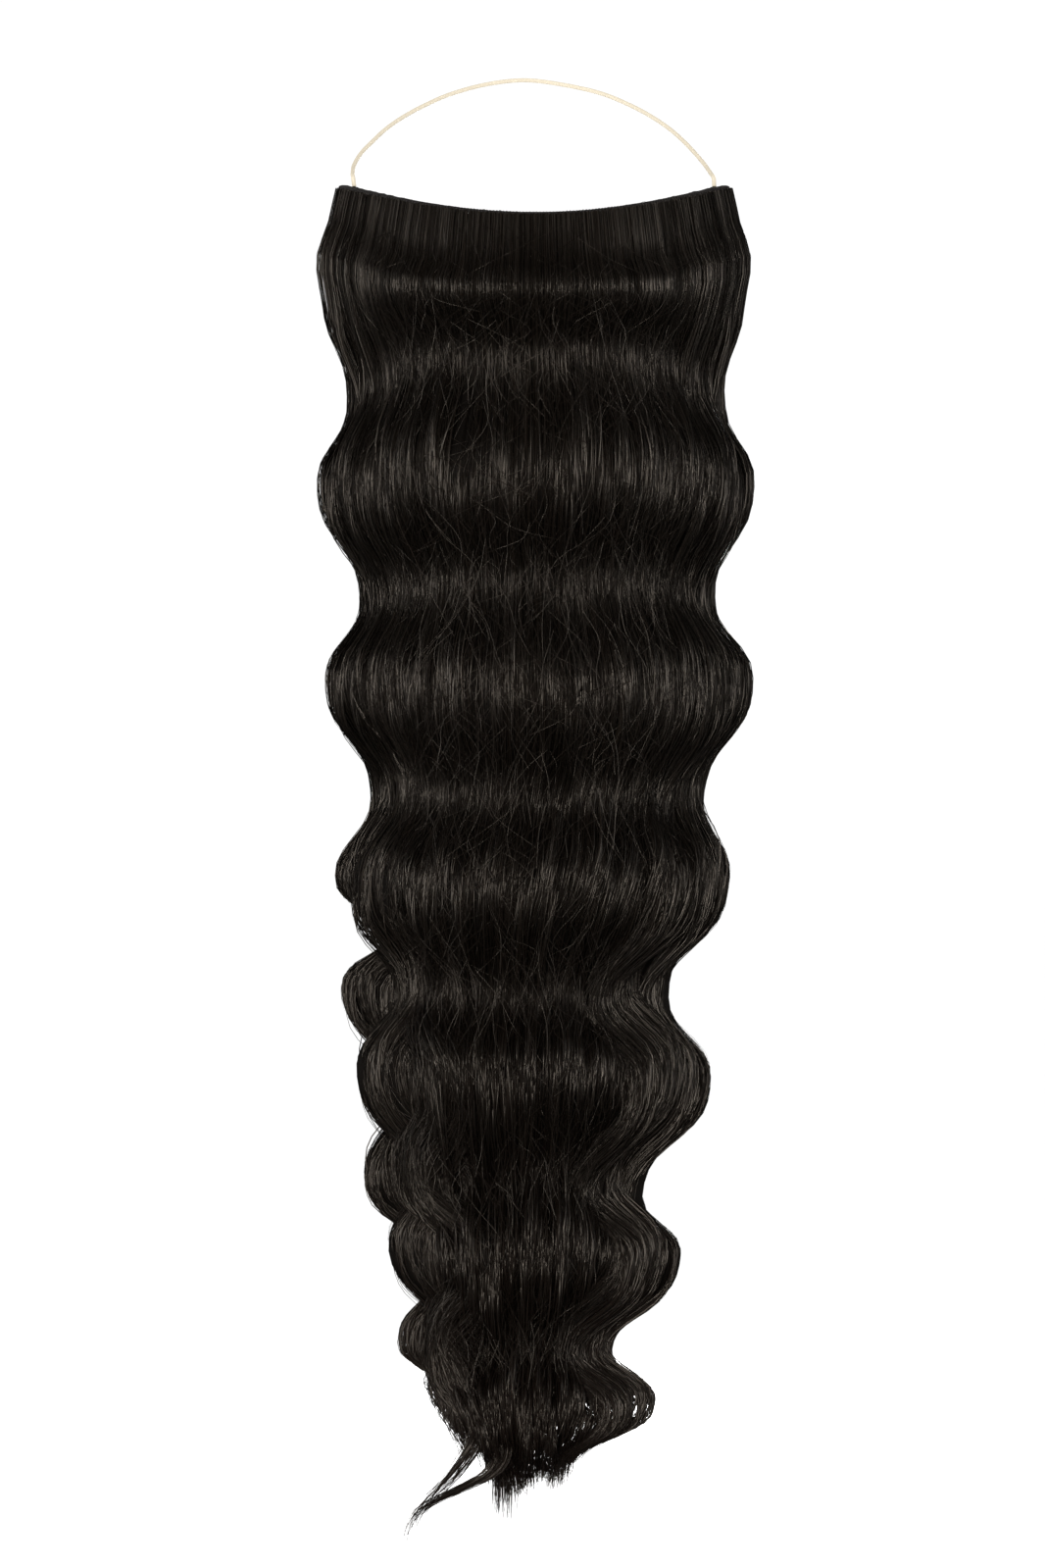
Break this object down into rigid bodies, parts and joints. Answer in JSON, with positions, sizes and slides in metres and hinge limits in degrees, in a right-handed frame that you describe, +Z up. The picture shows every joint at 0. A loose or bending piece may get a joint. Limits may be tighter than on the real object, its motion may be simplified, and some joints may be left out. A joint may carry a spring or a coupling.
{
  "type": "halo hair extension",
  "caption": "One-piece wavy hair extension: long locks on a curved weft band, held round the head by a thin elastic halo cord.",
  "frame": {"origin": "centre of the weft's curve, on the axis of the wearer's head, level with the top of the weft's two ends", "axes": "+Z up; -Y is the hair side, at the back of the wearer's head; +Y is the side of the face, where the cord passes; X runs along the weft"},
  "size_m": [0.201, 0.1988, 0.6728],
  "materials": {
    "hair": "silky brown-black strands",
    "weft_fabric": "matt woven tape",
    "weft_thread": "stitched thread",
    "elastic": "cream covered elastic"
  },
  "bodies": {
    "root": {"weft_band": "weft_fabric", "weft_seam": "weft_thread", "hair_lock_1": "hair", "hair_lock_2": "hair", "hair_lock_3": "hair", "hair_lock_4": "hair", "hair_lock_5": "hair", "hair_lock_6": "hair", "hair_lock_7": "hair", "hair_lock_8": "hair", "hair_lock_9": "hair", "cord_tab_left": "weft_fabric", "cord_tab_right": "weft_fabric", "halo_cord": "elastic"}
  },
  "joints": []
}
